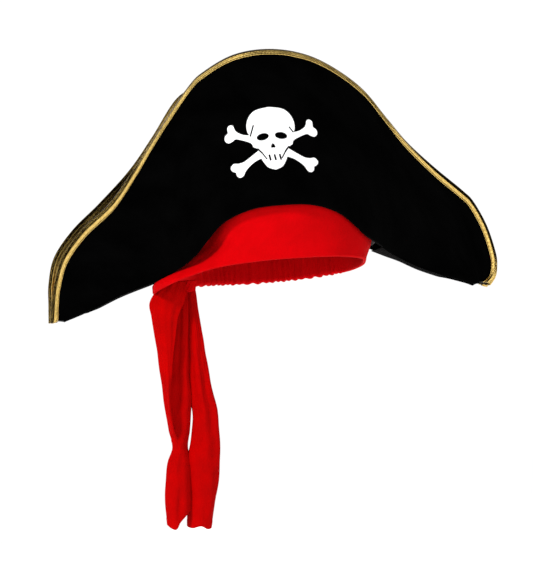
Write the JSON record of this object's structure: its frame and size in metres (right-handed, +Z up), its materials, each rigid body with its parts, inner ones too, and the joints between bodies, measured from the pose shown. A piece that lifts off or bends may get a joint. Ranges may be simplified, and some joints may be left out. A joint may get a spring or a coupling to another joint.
{
  "type": "pirate hat",
  "caption": "Costume bicorne hat with a black foam-stiffened brim turned up front and back, gold edge tape, a printed skull, a red bandana in the head opening and hanging cloth tails.",
  "frame": {"origin": "middle of the head opening, level with the bandana's lower edge", "axes": "+Z up along the crown, the hat faces -Y, +X is the wearer's left"},
  "size_m": [0.4168, 0.1924, 0.4215],
  "materials": {
    "brim_velour": "black brushed velour",
    "brim_foam": "black flexible foam, laminated between the cloths",
    "brim_lining": "black knit backing cloth",
    "gold_tape": "metallic gold lame tape",
    "crown_cloth": "black felt",
    "red_cloth": "red knit polyester",
    "elastic": "black ribbed elastic",
    "thread": "black polyester thread",
    "white_print": "white heat-pressed film"
  },
  "bodies": {
    "hat": {"front_brim_face": "brim_velour", "front_brim_foam": "brim_foam", "front_brim_lining": "brim_lining", "front_edge_tape": "gold_tape", "back_brim_face": "brim_velour", "back_brim_foam": "brim_foam", "back_brim_lining": "brim_lining", "back_edge_tape": "gold_tape", "right_wing_gusset": "brim_velour", "left_wing_gusset": "brim_velour", "right_tip_tack": "thread", "left_tip_tack": "thread", "crown_front": "crown_cloth", "crown_back": "crown_cloth", "crown_top": "crown_cloth", "bandana_front": "red_cloth", "bandana_back": "red_cloth", "back_elastic": "elastic", "tail_gather": "red_cloth", "skull_print": "white_print"},
    "outer_tail": {"outer_tail": "red_cloth"},
    "inner_tail": {"inner_tail": "red_cloth"}
  },
  "joints": [
    {"name": "outer_tail_swing", "type": "hinge", "parent": "hat", "child": "outer_tail", "pos_m": [-0.1005, 0.004, -0.0188], "axis": [1, 0, 0], "range_deg": [-75, 75]},
    {"name": "inner_tail_swing", "type": "hinge", "parent": "hat", "child": "inner_tail", "pos_m": [-0.077, 0.004, -0.0188], "axis": [1, 0, 0], "range_deg": [-75, 75]}
  ]
}
